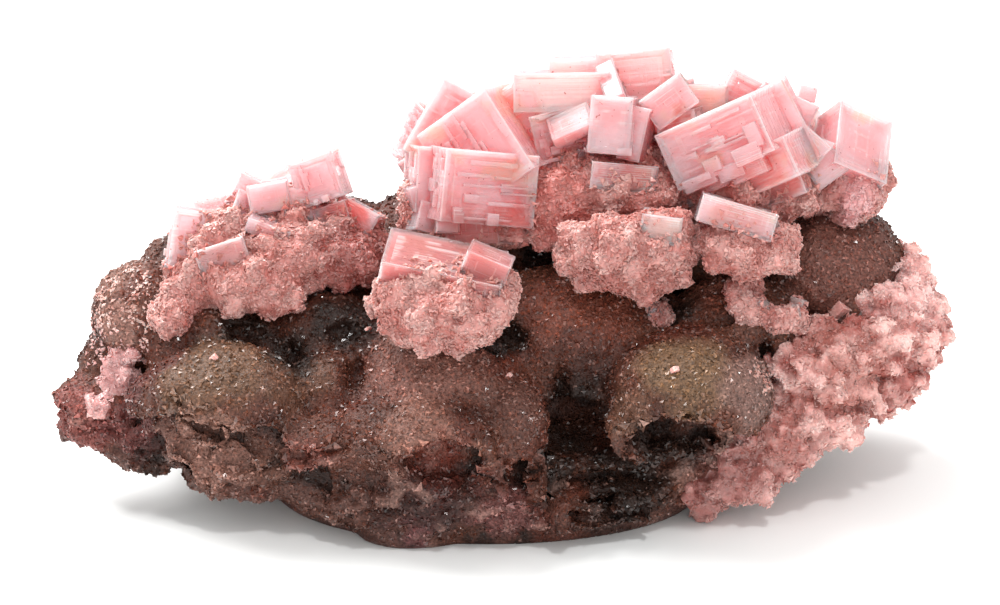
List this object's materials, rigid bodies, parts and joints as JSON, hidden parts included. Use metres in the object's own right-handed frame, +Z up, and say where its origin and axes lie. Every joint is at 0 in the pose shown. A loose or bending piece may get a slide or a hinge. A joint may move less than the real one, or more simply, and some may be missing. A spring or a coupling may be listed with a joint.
{
  "type": "halite specimen",
  "caption": "Pink halite cubes in overlapping groups on a lumpy brown matrix, with a granular pink salt crust at one end.",
  "frame": {"origin": "on the flat patch under the matrix that the specimen rests on, near the middle of its length", "axes": "+X along the specimen towards the granular crust, -Y to its front, +Z up"},
  "size_m": [0.1509, 0.0791, 0.0747],
  "materials": {
    "brown_matrix": "fine sugary druse over brown salt and mud",
    "pink_halite": "clear to milky pink with growth steps",
    "pink_crust": "granular, sugary"
  },
  "bodies": {
    "root": {"matrix": "brown_matrix", "crystals_main": "pink_halite", "crystals_left": "pink_halite", "crystal_front": "pink_halite", "crystals_middle": "pink_halite", "crystals_small_right": "pink_halite", "crystals_arc": "pink_halite", "cube_single": "pink_halite", "crust_right": "pink_crust", "crust_left": "pink_crust"}
  },
  "joints": []
}
